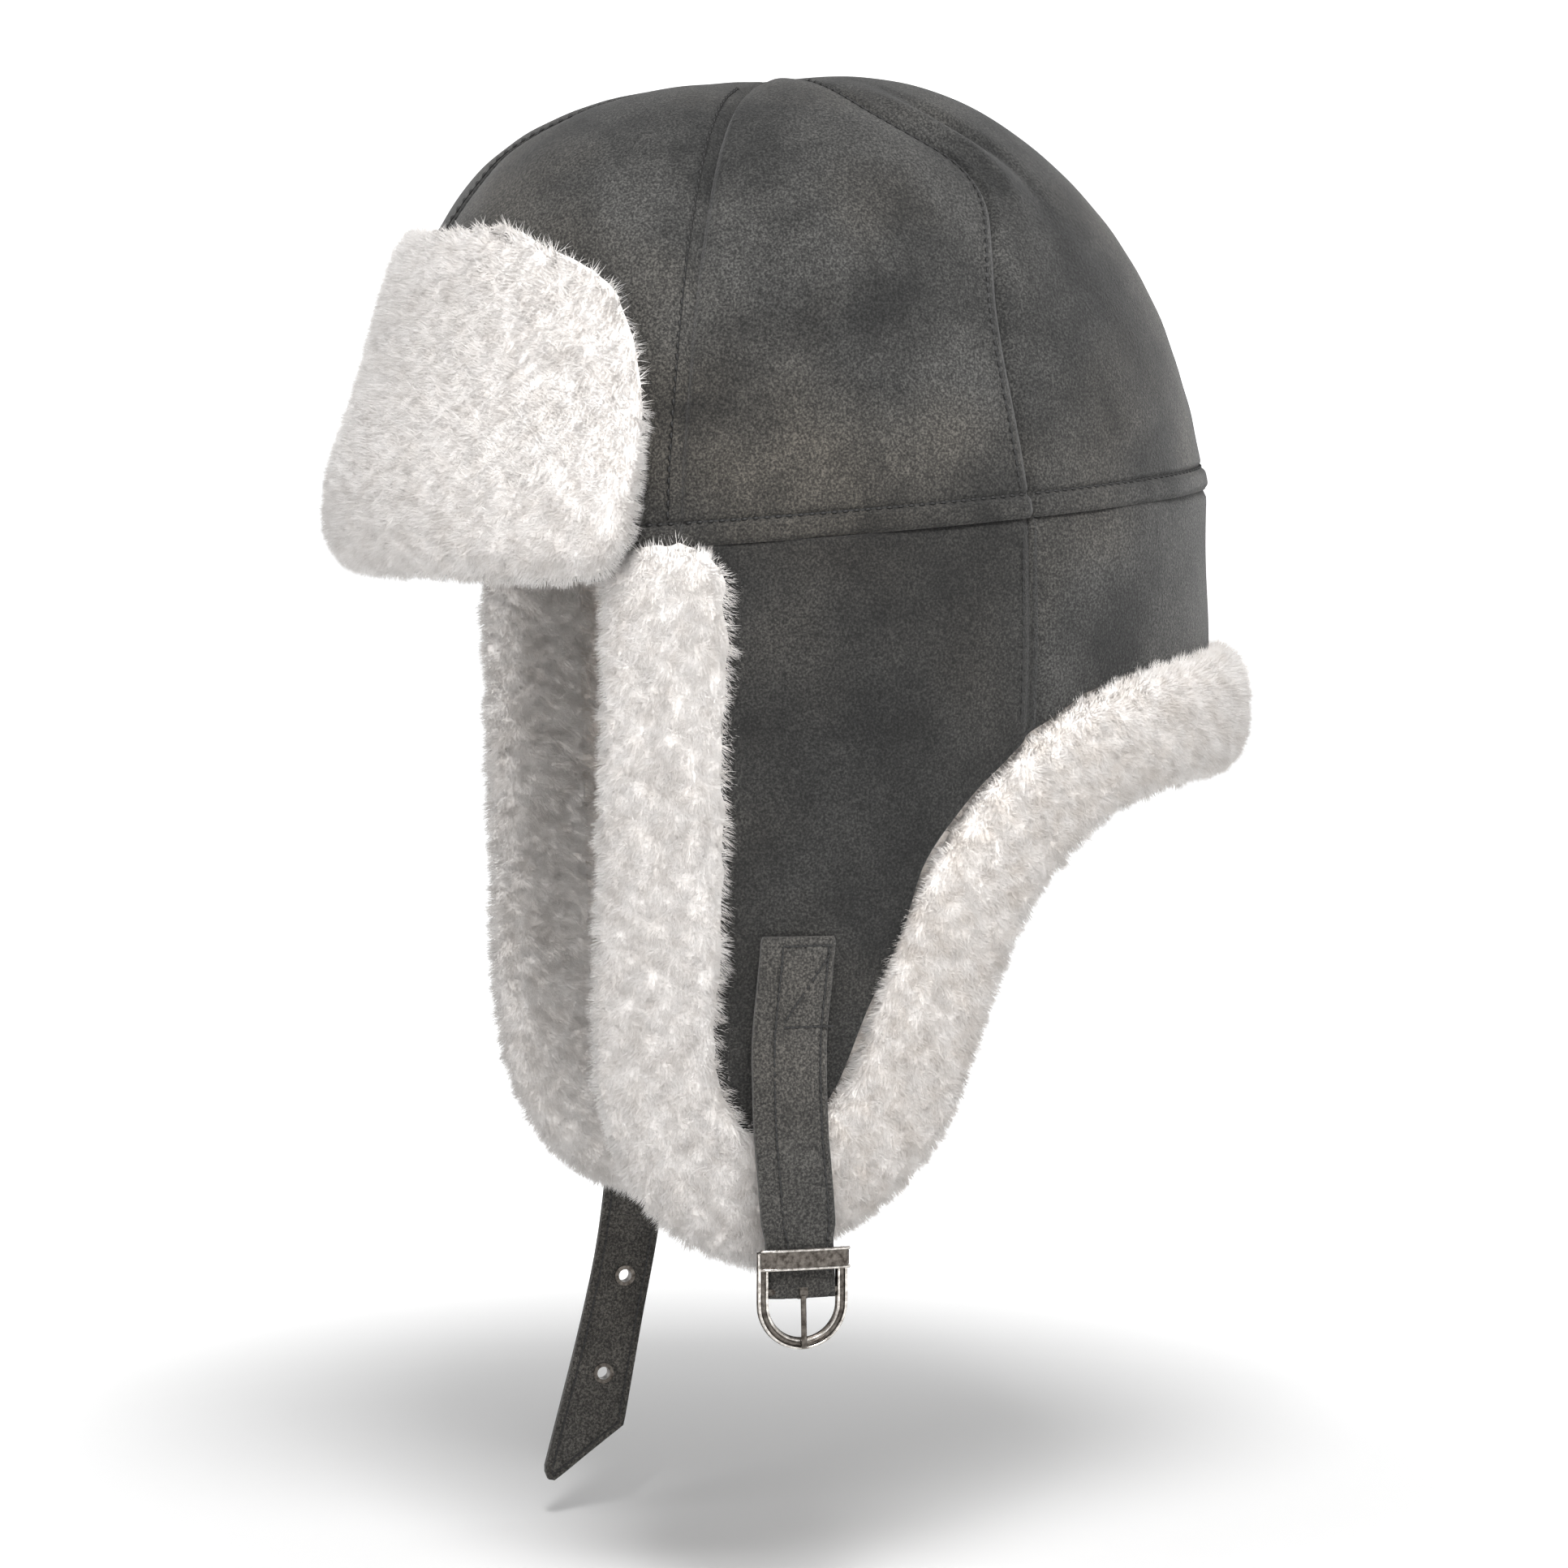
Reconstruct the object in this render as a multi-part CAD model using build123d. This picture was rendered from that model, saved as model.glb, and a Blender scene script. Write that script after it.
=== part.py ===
from build123d import *
import os
from math import cos, radians, sin, tan

# Trapper hat in sheepskin: six leather crown panels lined with wool, a nape band, two ear
# flaps with turned-out fur edges, a fur front flap folded up against the crown, and a chin
# strap in two halves, one with a buckle and one with eyelets.
#
# Millimetres. +Z is up, the face looks along -Y and the wearer's left is +X. The origin is
# the centre of the head opening, level with the seam between crown and band at the temples.

# ---- driving dimensions ------------------------------------------------------------------
HALF_WIDTH = 98.0          # outside of the leather, at the band
HALF_LENGTH = 120.0
CROWN_HEIGHT = 130.5       # band seam to the top, along the crown's own axis
CROWN_POWER = 0.75         # 1 would be an ellipsoid, less is fuller at the shoulders
CROWN_SHEAR = 0.10         # how far the crown drifts forward for each mm of height
CROWN_PITCH = 4.4          # degrees, forward tilt of the band seam and crown

LEATHER = 1.8              # hide thickness
WOOL = 14.0                # inner face of the wool, below the outside of the leather
GAP = 0.3                  # between neighbouring pieces
FUR_PROUD = 5.0            # turned-out fur beyond the leather on the flaps
NAPE_PROUD = 9.0           # and at the nape, where the roll is fuller

LEAN_START = 30.0          # the ear flaps lean inwards below this depth
LEAN_SPAN = 170.0
LEAN_AMOUNT = 22.0         # by this much after LEAN_SPAN more

SEAM_FRONT = -31.0         # crown seams as ellipse angles, 0 at the wearer's left ear
SEAM_REAR = 18.5
SEAM_KERF = 0.12           # degrees left open at each seam
APEX_HOLE = 2.0            # where the six points meet

FOLD_X = 104.0             # fold line of an ear flap, outside the leather
FOLD_Z = -56.0
FOLD_INWARD = 11.0         # degrees of room for the flap to press inwards
NAPE_START = 45.0          # the turned-out edge belongs to the nape behind this
EAR_FRONT = -49.0          # front edge of the ear leather
TRIM_FRONT = -83.0         # front edge of the fur in front of it
TRIM_TOP = -8.0
EAR_REAR = 38.0            # side seam under the rear crown seam
FOREHEAD_DROP = 14.5       # lower edge of the forehead band

STRAP_WIDTH = 20.0
STRAP_THICK = 4.0
STRAP_Y = -28.2            # centre of both straps where they are stitched on
ANCHOR_TOP = -113.5
ANCHOR_BOTTOM = -139.0
STRAP_X = 88.9             # inner face of the hanging straps

BUCKLE_BAR_Z = -211.5      # the bar inside the strap's fold
BUCKLE_WIDTH = 25.5
BUCKLE_WIRE = 2.8
BUCKLE_PLATE_Z = -202.0    # middle of the flat plate in front of the strap
BUCKLE_PLATE_HEIGHT = 5.8
BAR_R = 1.2
PRONG_R = 0.8

EYELET_BORE_R = 2.0
EYELET_BARREL_R = 2.45
EYELET_RIM_R = 3.2
EYELET_RIM = 0.5
EYELET_STRAP = 3.0         # thickness of the strap that carries the eyelets
EYELET_PLACES = [(-33.5, -239.0), (-40.5, -269.5)]

RATIO = HALF_LENGTH * cos(radians(CROWN_PITCH)) / HALF_WIDTH    # band plan, length to width
BIG = 400.0


# ---- shared surfaces ---------------------------------------------------------------------
def lean(z):
    """How far the side wall has moved inwards at height z."""
    return LEAN_AMOUNT * max(0.0, (-z - LEAN_START) / LEAN_SPAN) ** 1.5


def band_radii(offset):
    """Plan radii of the band, at an offset from the outside of the leather."""
    return HALF_WIDTH + offset, (HALF_WIDTH + offset) * RATIO


def oval(offset, z):
    """Flat oval of the band's plan at height z."""
    return Pos(0, 0, z) * Ellipse(*band_radii(offset))


def below_seam(shape):
    """What lies under the tilted plane of the band seam."""
    return shape - Rot(X=CROWN_PITCH) * Pos(0, 0, BIG / 2 - GAP / 2) * Box(BIG, BIG, BIG)


def band(outer, inner, low, high=12.0):
    """Upright ring between two offsets, cut off at the band seam."""
    ring = extrude(oval(outer, low), high - low) - extrude(oval(inner, low), high - low)
    return below_seam(ring)


def side_wall(outer, inner, high, low):
    """The left side between two offsets: upright at the top, leaning inwards further down."""
    reach = 52
    levels = 8
    sections = []
    for i in range(levels + 1):
        z = high + (low - high) * i / levels
        outside, inside = [
            EllipticalCenterArc((0, 0), *band_radii(offset), -reach, arc_size=2 * reach)
            for offset in (outer, inner)
        ]
        ends = [Line(outside @ k, inside @ k) for k in (0, 1)]
        sections.append(Pos(-lean(z), 0, z) * make_face([outside, inside, *ends]))
    return loft(sections)


def side_prism(outline):
    """Extrude an outline drawn in Y and Z right through the left side."""
    return extrude(Plane.YZ.offset(20) * outline, 110)


# ---- outlines of the ear flap, in Y and Z ------------------------------------------------
def ear_leather_outline(high, margin=0.0):
    """Leather of the ear flap from a height down to its rounded tip."""
    front = EAR_FRONT - margin
    tip = (-32, -173 - margin)
    rear = [
        tip,
        (-19 + margin, -158),
        (-10 + margin, -134),
        (-1 + margin, -112),
        (5 + margin, -92),
        (17 + margin, -75.5),
        (29 + margin, -64.5),
        (EAR_REAR + margin, FOLD_Z),
    ]
    edges = [
        Line((front, high), (front, -135)),
        Spline((front, -135), (front + 3, -157), tip, tangents=[(0, -1), (1, 0)]),
        Spline(*rear, tangents=[(1, 0), (1, 1)]),
        Line(rear[-1], (EAR_REAR + margin, high)),
        Line((EAR_REAR + margin, high), (front, high)),
    ]
    return make_face(edges)


def flap_outline(high):
    """Outer edge of the fur round the ear flap."""
    tip = (-36, -206)
    edges = [
        Line((TRIM_FRONT, high), (TRIM_FRONT, -140)),
        Spline((TRIM_FRONT, -140), (-78, -172), (-64, -197), tip, tangents=[(0, -1), (1, 0)]),
        Spline(tip, (-13, -202), (10, -176), (24, -140), (32, -110), (NAPE_START, -84),
               tangents=[(1, 0), (1, 1)]),
        Line((NAPE_START, -84), (NAPE_START, high)),
        Line((NAPE_START, high), (TRIM_FRONT, high)),
    ]
    return make_face(edges)


def half_plane(y_low, y_high, z_low=-BIG, z_high=BIG):
    """Rectangle used to keep part of an outline."""
    return Pos((y_low + y_high) / 2, (z_low + z_high) / 2) * Rectangle(
        y_high - y_low, z_high - z_low
    )


def hinge_room():
    """Space left above the flap so that it can press inwards about its fold line."""
    drop = BIG * tan(radians(FOLD_INWARD))
    corners = [(FOLD_X + 20, FOLD_Z - GAP), (FOLD_X, FOLD_Z - GAP),
               (FOLD_X - BIG, FOLD_Z - GAP - drop), (FOLD_X - BIG, BIG), (FOLD_X + 20, BIG)]
    face = make_face(Polyline(*corners, close=True))
    return extrude(Plane.XZ.offset(-BIG / 2) * face, BIG)


# ---- crown -------------------------------------------------------------------------------
def crown_matrix():
    """Stretch to the head's length, drift forward with height, then tilt forward."""
    c, s = cos(radians(CROWN_PITCH)), sin(radians(CROWN_PITCH))
    stretch = HALF_LENGTH / HALF_WIDTH
    return Matrix([
        [1, 0, 0, 0],
        [0, stretch * c, -CROWN_SHEAR * c - s, 0],
        [0, stretch * s, -CROWN_SHEAR * s + c, 0],
        [0, 0, 0, 1],
    ])


def crown_profile(offset):
    """Half of the crown's outline at an offset, from the band to the top."""
    radius, height = HALF_WIDTH + offset, CROWN_HEIGHT + offset
    steps = 8
    points = []
    for i in range(steps + 1):
        angle = radians(86) * i / steps
        points.append((radius * cos(angle) ** CROWN_POWER, height * sin(angle)))
    points.append((APEX_HOLE, height))
    return Spline(*points, tangents=[(0, 1), (-1, 0)])


def crown_shell(outer, inner, first, last):
    """Part of the crown between two offsets and two ellipse angles."""
    outside, inside = crown_profile(outer), crown_profile(inner)
    ends = [Line(outside @ k, inside @ k) for k in (0, 1)]
    face = Plane.XZ * make_face([outside, inside, *ends])
    turned = Rot(Z=first) * revolve(face, Axis.Z, last - first)
    return turned.transform_geometry(crown_matrix())


def crown_gores():
    """Six leather panels and the six pieces of lining behind them, three a side."""
    seams = [-90, SEAM_FRONT, SEAM_REAR, 90]
    layers = {"crown": (0, -LEATHER), "lining": (-LEATHER - GAP, -WOOL)}
    gores = {}
    for layer, (outer, inner) in layers.items():
        for place, first, last in zip(["front", "side", "back"], seams, seams[1:]):
            left = crown_shell(outer, inner, first + SEAM_KERF, last - SEAM_KERF)
            gores[f"{layer}_{place}_left"] = left
            gores[f"{layer}_{place}_right"] = mirror(left, about=Plane.YZ)
    return gores


# ---- band, nape and forehead -------------------------------------------------------------
def nape_edge(drop):
    """Lower edge of the nape from the side seam back, lowered by drop."""
    seam = EAR_REAR + GAP
    return [(seam, FOLD_Z - drop), (57, -45 - drop), (75, -39.5 - drop), (100, -38.5 - drop)]


def nape_zone(upper_drop, lower_drop):
    """Prism through both sides between two parallel lines under the nape's edge."""
    back = 180
    upper, lower = nape_edge(upper_drop), nape_edge(lower_drop)
    edges = []
    for line in (upper, lower):
        edges.append(Spline(*line, tangents=[(1, 0.7), (1, 0)]))
        edges.append(Line(line[-1], (back, line[-1][1])))
    edges.append(Line(upper[0], lower[0]))
    edges.append(Line((back, upper[-1][1]), (back, lower[-1][1])))
    return extrude(Plane.YZ.offset(-BIG / 2) * make_face(edges), BIG)


def nape_pieces():
    """Leather nape panel, its wool, and the roll of fur turned out below it."""
    roll_height = 30.0
    above = nape_zone(-BIG / 2, 0)
    behind_flap = Pos(0, NAPE_START + GAP + BIG / 2, 0) * Box(BIG, BIG, BIG)
    roll = nape_zone(GAP, roll_height) & behind_flap
    low = -90
    return {
        "nape_panel": band(0, -LEATHER, low) & above,
        "nape_wool": band(-LEATHER - GAP, -WOOL, low) & above,
        "nape_trim": band(NAPE_PROUD, -WOOL, low) & roll,
    }


def forehead_pieces():
    """Narrow leather band and wool under the front crown panels, behind the front flap."""
    front = -TRIM_FRONT + 1
    keep = Pos(0, -front - BIG / 2, 0) * Box(BIG, BIG, BIG)
    return {
        "forehead_band": band(0, -LEATHER, -FOREHEAD_DROP) & keep,
        "forehead_wool": band(-LEATHER - GAP, -WOOL, -FOREHEAD_DROP) & keep,
    }


# ---- left ear flap -----------------------------------------------------------------------
def temple_trim_outline():
    """Fur strip in front of the ear above the fold, stepped down under the front flap."""
    return make_face(Polyline(
        (TRIM_FRONT, FOLD_Z), (TRIM_FRONT, -20), (-76, -20), (-69, TRIM_TOP),
        (EAR_FRONT - GAP, TRIM_TOP), (EAR_FRONT - GAP, FOLD_Z), close=True))


def temple_pieces():
    """What stays with the hat above the left fold line."""
    ear = side_prism(half_plane(EAR_FRONT, EAR_REAR, FOLD_Z, 20))
    return {
        "left_ear_panel": below_seam(side_wall(0, -LEATHER, 12, FOLD_Z) & ear),
        "left_temple_wool": below_seam(side_wall(-LEATHER - GAP, -WOOL, 12, FOLD_Z) & ear),
        "left_temple_trim": side_wall(FUR_PROUD, -WOOL, 12, FOLD_Z)
        & side_prism(temple_trim_outline()),
    }


def flap_pieces():
    """What swings with the left ear flap below its fold line."""
    room = hinge_room()
    low = -212
    high = FOLD_Z + 1
    leather = side_prism(ear_leather_outline(high))
    fur = side_prism(flap_outline(high) - ear_leather_outline(high, GAP))
    split_y = -34
    front = side_prism(half_plane(-BIG, split_y - GAP / 2))
    rear = side_prism(half_plane(split_y + GAP / 2, BIG))
    trim = side_wall(FUR_PROUD, -WOOL, high, low) & fur
    return {
        "left_flap_leather": (side_wall(0, -LEATHER, high, low) & leather) - room,
        "left_flap_wool": (side_wall(-LEATHER - GAP, -WOOL, high, low) & leather) - room,
        "left_flap_front_trim": (trim & front) - room,
        "left_flap_rear_trim": (trim & rear) - room,
    }


def strap_anchor():
    """Stitched end of a strap, lying on the ear leather."""
    half = STRAP_WIDTH / 2
    patch = half_plane(STRAP_Y - half, STRAP_Y + half, ANCHOR_BOTTOM, ANCHOR_TOP)
    return side_wall(3.2, 0.2, ANCHOR_TOP + 5, ANCHOR_BOTTOM - 5) & side_prism(patch)


# ---- buckle strap, wearer's left ---------------------------------------------------------
def along_y(radius, length, x, z, y=STRAP_Y):
    """Cylinder along Y, centred at y."""
    return Pos(x, y, z) * Rot(X=90) * Cylinder(radius, length)


def buckle_strap():
    """Doubled strap that hangs from the anchor and folds round the buckle's bar."""
    top = ANCHOR_BOTTOM - 1
    neck = BUCKLE_PLATE_Z + BUCKLE_PLATE_HEIGHT
    half, narrow = STRAP_WIDTH / 2, 8.4
    x = STRAP_X + STRAP_THICK / 2
    body = Pos(x, STRAP_Y, (top + neck) / 2) * Box(STRAP_THICK, 2 * half, top - neck)
    end = Pos(x, STRAP_Y, (neck + BUCKLE_BAR_Z) / 2) * Box(
        STRAP_THICK, 2 * narrow, neck - BUCKLE_BAR_Z)
    fold = along_y(STRAP_THICK / 2, 2 * narrow, x, BUCKLE_BAR_Z)
    slot = Pos(x, STRAP_Y, BUCKLE_BAR_Z) * Box(3 * STRAP_THICK, 3.4, 9)
    bore = along_y(BAR_R + 0.25, 2 * half, x, BUCKLE_BAR_Z)
    return body + end + fold - slot - bore


def buckle_frame():
    """D-shaped frame with a flat plate that crosses in front of the strap."""
    x = STRAP_X + STRAP_THICK / 2
    outer_r, wire = BUCKLE_WIDTH / 2, BUCKLE_WIRE
    bend_z = BUCKLE_BAR_Z - 3.5
    top_z = BUCKLE_PLATE_Z + BUCKLE_PLATE_HEIGHT / 2

    def d_shape(radius):
        return make_face([
            Line((-radius, top_z), (-radius, bend_z)),
            CenterArc((0, bend_z), radius, 180, 180),
            Line((radius, bend_z), (radius, top_z)),
            Line((radius, top_z), (-radius, top_z)),
        ])

    rim = d_shape(outer_r) - d_shape(outer_r - wire)
    plane = Plane.YZ.offset(x - wire / 2) * Pos(STRAP_Y, 0)
    ring = extrude(plane * rim, wire)
    plate_x = STRAP_X + STRAP_THICK + GAP
    plate = Pos(plate_x + 1, STRAP_Y, BUCKLE_PLATE_Z) * Box(
        2, BUCKLE_WIDTH, BUCKLE_PLATE_HEIGHT)
    legs = []
    for side in (-1, 1):
        y = STRAP_Y + side * (outer_r - wire / 4)
        depth = plate_x + 1 - x
        legs.append(Pos(x + depth / 2, y, BUCKLE_PLATE_Z) * Box(
            depth, wire / 2, BUCKLE_PLATE_HEIGHT))
    return ring + plate + legs[0] + legs[1]


def buckle_bar():
    """Round bar across the frame, inside the strap's fold."""
    x = STRAP_X + STRAP_THICK / 2
    return along_y(BAR_R, BUCKLE_WIDTH - 2 * BUCKLE_WIRE, x, BUCKLE_BAR_Z)


def buckle_prong():
    """Eye round the bar and a pin that rests on the outer face of the rim."""
    x = STRAP_X + STRAP_THICK / 2
    rim_z = BUCKLE_BAR_Z - 3.5 - BUCKLE_WIDTH / 2
    start = Vector(x + 1.6, STRAP_Y, BUCKLE_BAR_Z - 1.2)
    end = Vector(x + BUCKLE_WIRE / 2 + GAP + PRONG_R, STRAP_Y, rim_z + 0.4)
    direction = end - start
    pin = Plane(origin=start, z_dir=direction) * Cylinder(
        PRONG_R, direction.length, align=(Align.CENTER, Align.CENTER, Align.MIN))
    eye = along_y(BAR_R + 1.2, 2.4, x, BUCKLE_BAR_Z)
    return eye + pin - along_y(BAR_R + 0.1, 5, x, BUCKLE_BAR_Z)


# ---- eyelet strap, wearer's right --------------------------------------------------------
def eyelet_strap_outline():
    """Strap that hangs from its anchor, drifts forward and ends in a slanted point."""
    half = STRAP_WIDTH / 2
    top = ANCHOR_BOTTOM - 1
    front = [(STRAP_Y - half, top), (STRAP_Y - half, -190), (-41, -222), (-47, -252), (-60, -300)]
    rear = [(STRAP_Y + half, top), (STRAP_Y + half, -190), (-22, -222), (-28, -254), (-33, -285)]
    edges = [
        Spline(*front, tangents=[(0, -1), (-0.3, -1)]),
        Spline(*rear, tangents=[(0, -1), (-0.2, -1)]),
        Line(front[0], rear[0]),
        Line(rear[-1], (-56, -304)),
        Line((-56, -304), front[-1]),
    ]
    return make_face(edges)


def eyelet_strap():
    """Strap with a round hole for each eyelet."""
    strap = extrude(Plane.YZ.offset(-STRAP_X - EYELET_STRAP) * eyelet_strap_outline(), EYELET_STRAP)
    for y, z in EYELET_PLACES:
        strap -= Pos(-STRAP_X, y, z) * Rot(Y=90) * Cylinder(EYELET_BARREL_R + 0.02, 20)
    return strap


def eyelets():
    """Metal rims with a flange on each face of the strap."""
    middle = -STRAP_X - EYELET_STRAP / 2
    made = []
    for y, z in EYELET_PLACES:
        flange_at = EYELET_STRAP / 2 + EYELET_RIM / 2
        rim = Cylinder(EYELET_BARREL_R, EYELET_STRAP)
        for side in (-1, 1):
            rim += Pos(0, 0, side * flange_at) * Cylinder(EYELET_RIM_R, EYELET_RIM)
        rim -= Cylinder(EYELET_BORE_R, 20)
        made.append(Pos(middle, y, z) * Rot(Y=90) * rim)
    return Compound(children=made)


# ---- front flap --------------------------------------------------------------------------
# height, outer offset from the crown, ellipse angle of its end
FRONT_FLAP = [
    (-15.0, 22.0, -40.0),
    (-6.0, 25.0, -36.0),
    (12.0, 22.0, -33.5),
    (42.0, 14.5, -31.5),
    (66.0, 12.5, -38.0),
    (79.0, 12.0, -50.0),
    (86.0, 9.0, -62.0),
]
FRONT_FLAP_INNER = 3.0
FRONT_TILT_DROP = 9.0      # the band seam is this much lower at the forehead


def front_arc(z, offset, end):
    """Arc round the forehead at height z, outside the crown by an offset."""
    h = max(0.0, z + FRONT_TILT_DROP)
    fullness = (1 - (h / CROWN_HEIGHT) ** 2) ** (CROWN_POWER / 2)
    drift = -h * (CROWN_SHEAR + sin(radians(CROWN_PITCH)))
    return EllipticalCenterArc(
        (0, drift), HALF_WIDTH * fullness + offset, HALF_LENGTH * fullness + offset,
        180 - end, arc_size=180 + 2 * end)


def front_layer(inner, outer):
    """One layer of the front flap, with inner and outer giving each level's offsets."""
    sections = []
    for (z, fur, end), low, high in zip(FRONT_FLAP, inner, outer):
        outside, inside = front_arc(z, high, end), front_arc(z, low, end)
        ends = [Line(outside @ k, inside @ k) for k in (0, 1)]
        sections.append(Pos(0, 0, z) * make_face([outside, inside, *ends]))
    return loft(sections)


def front_flap_pieces():
    """Leather back against the crown and fur outside."""
    levels = len(FRONT_FLAP)
    back = [FRONT_FLAP_INNER] * levels
    split = [FRONT_FLAP_INNER + LEATHER] * levels
    fur_inside = [FRONT_FLAP_INNER + LEATHER + GAP] * levels
    fur_outside = [fur for _, fur, _ in FRONT_FLAP]
    return {
        "front_flap_leather": front_layer(back, split),
        "front_flap_fur": front_layer(fur_inside, fur_outside),
    }


# ---- the whole hat -----------------------------------------------------------------------
def build_hat():
    nodes = {}
    nodes.update(crown_gores())
    nodes.update(nape_pieces())
    nodes.update(forehead_pieces())
    left_side = temple_pieces()
    left_side.update(flap_pieces())
    left_side["left_strap_anchor"] = strap_anchor()
    for name, piece in left_side.items():
        nodes[name] = piece
        nodes[name.replace("left", "right")] = mirror(piece, about=Plane.YZ)
    nodes["left_strap"] = buckle_strap()
    nodes["buckle_frame"] = buckle_frame()
    nodes["buckle_bar"] = buckle_bar()
    nodes["buckle_prong"] = buckle_prong()
    nodes["right_strap"] = eyelet_strap()
    nodes["strap_eyelets"] = eyelets()
    nodes.update(front_flap_pieces())
    return nodes


os.makedirs("parts", exist_ok=True)
for node, shape in build_hat().items():
    export_step(shape, f"parts/{node}.step")
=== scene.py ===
import math

import bpy
import numpy as np
from mathutils import Matrix, Vector


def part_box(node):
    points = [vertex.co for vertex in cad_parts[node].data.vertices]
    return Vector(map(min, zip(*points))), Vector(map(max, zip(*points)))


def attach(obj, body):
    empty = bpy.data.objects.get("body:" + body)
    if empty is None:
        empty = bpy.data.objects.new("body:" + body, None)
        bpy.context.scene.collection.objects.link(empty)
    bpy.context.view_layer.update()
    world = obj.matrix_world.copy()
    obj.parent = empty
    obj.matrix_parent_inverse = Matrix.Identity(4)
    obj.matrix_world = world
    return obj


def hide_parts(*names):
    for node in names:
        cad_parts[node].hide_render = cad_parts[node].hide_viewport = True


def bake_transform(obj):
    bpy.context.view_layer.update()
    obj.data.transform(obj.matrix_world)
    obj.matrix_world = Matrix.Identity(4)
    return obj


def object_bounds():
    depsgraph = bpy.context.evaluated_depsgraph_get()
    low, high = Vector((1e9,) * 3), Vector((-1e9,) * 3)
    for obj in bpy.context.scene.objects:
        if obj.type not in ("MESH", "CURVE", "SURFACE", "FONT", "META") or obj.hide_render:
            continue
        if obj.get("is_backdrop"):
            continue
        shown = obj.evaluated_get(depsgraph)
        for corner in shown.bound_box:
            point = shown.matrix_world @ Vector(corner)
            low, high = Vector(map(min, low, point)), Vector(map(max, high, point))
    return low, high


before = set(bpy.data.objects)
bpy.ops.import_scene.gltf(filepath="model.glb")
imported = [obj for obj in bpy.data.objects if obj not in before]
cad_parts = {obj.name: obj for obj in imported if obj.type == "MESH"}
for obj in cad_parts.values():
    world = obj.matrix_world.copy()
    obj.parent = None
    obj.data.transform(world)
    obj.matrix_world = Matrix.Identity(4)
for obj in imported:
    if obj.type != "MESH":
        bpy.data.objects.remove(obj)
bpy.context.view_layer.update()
rng = np.random.default_rng(7)

MM = 0.001

# ---- the hat's own surfaces, in millimetres ----------------------------------------------
A, B, H = 98.0, 120.0, 130.5         # outside of the leather: half width, half length, height
POWER, SHEAR = 0.75, 0.10
PITCH = math.radians(4.4)
RATIO = B * math.cos(PITCH) / A
LEATHER = 1.8
SHELL_INNER = -LEATHER - 0.6         # inner face of a leather shell, from the leather's outside
WOOL_OUTER, WOOL_INNER = -3.0, -10.5
TOP_DROP, TOP_SHIFT = 4.5, 12.0
FOLD_Z = -56.0                       # the rear edge of an ear flap starts here
SEAM_AT_BAND = [-90.0, -31.0, 18.5, 90.0]
SEAM_DEPTH, SEAM_WIDTH = 1.2, 1.6
CLIMB = 128.0                        # millimetres up a panel for each radian of latitude


def col(*parts):
    """Stack x, y and z arrays into points."""
    return np.stack(np.broadcast_arrays(*parts), -1).astype(float)


def bell(distance, width):
    """Falls from 1 at distance 0 to almost nothing at twice the width."""
    return np.exp(-(distance / width) ** 2)


def crown(theta, s, offset=0.0):
    """Crown surface at ellipse angle theta and latitude s, in radians."""
    rho = np.clip(np.cos(s), 0, 1) ** POWER
    h = (H + offset) * np.sin(s) - TOP_DROP * bell(rho, 0.4)
    x = (A + offset) * rho * np.cos(theta)
    y = (B + offset) * rho * np.sin(theta) - SHEAR * h + TOP_SHIFT * np.clip(1 - rho / 0.8, 0, 1) ** 2
    c, k = math.cos(PITCH), math.sin(PITCH)
    return col(x, y * c - h * k, h * c + y * k)


def lean(z):
    """How far the ear flaps lean in towards the chin."""
    return 22.0 * (np.clip(-z - 30.0, 0, None) / 170.0) ** 1.5


def wall(theta, z, offset=0.0):
    """Side and back of the hat below the crown, at an offset from the leather."""
    inward = lean(z) * np.tanh(3 * np.cos(theta))
    x = (A + offset) * np.cos(theta) - inward
    return col(x, (A + offset) * RATIO * np.sin(theta), z)


def theta_of_y(y):
    return np.arcsin(np.clip(np.asarray(y, float) / (A * RATIO), -1, 1))


def seam_angle(index, s):
    """Where each of the left side's four seams runs: they bow out on their way to the top."""
    fall = 1 - np.clip(np.cos(s), 0, 1) ** POWER
    side_bow = 20 * np.sqrt(fall)
    rear_bow = 4 * np.sqrt(fall) + 12.5 * bell(fall - 0.25, 0.14)
    bow = [0 * fall, side_bow, rear_bow, 0 * fall]
    return np.radians(SEAM_AT_BAND[index] + bow[index])


def seam_z(theta):
    """Height of the tilted seam between crown and band."""
    return B * math.sin(PITCH) * np.sin(theta)


# ---- mesh helpers ------------------------------------------------------------------------
def new_object(name, points, faces, uvs=None, smooth=True):
    """Mesh object from points in millimetres, with a UV per point."""
    mesh = bpy.data.meshes.new(name)
    mesh.from_pydata((np.asarray(points) * MM).tolist(), [], faces)
    if uvs is not None:
        layer = mesh.uv_layers.new(name="OFBake")
        index = np.empty(len(mesh.loops), np.int32)
        mesh.loops.foreach_get("vertex_index", index)
        layer.data.foreach_set("uv", np.asarray(uvs, np.float32)[index].ravel())
    mesh.polygons.foreach_set("use_smooth", [smooth] * len(mesh.polygons))
    mesh.update()
    made = bpy.data.objects.new(name, mesh)
    bpy.context.scene.collection.objects.link(made)
    return made


def grid_faces(rows, cols, wrap=False, first=0):
    """Quads of a grid of points, optionally closed round the columns."""
    r = np.arange(rows - 1)[:, None]
    c = np.arange(cols if wrap else cols - 1)[None, :]
    n = (c + 1) % cols
    quads = np.stack([r * cols + c, r * cols + n, (r + 1) * cols + n, (r + 1) * cols + c], -1)
    return (quads.reshape(-1, 4) + first).tolist()


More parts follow.
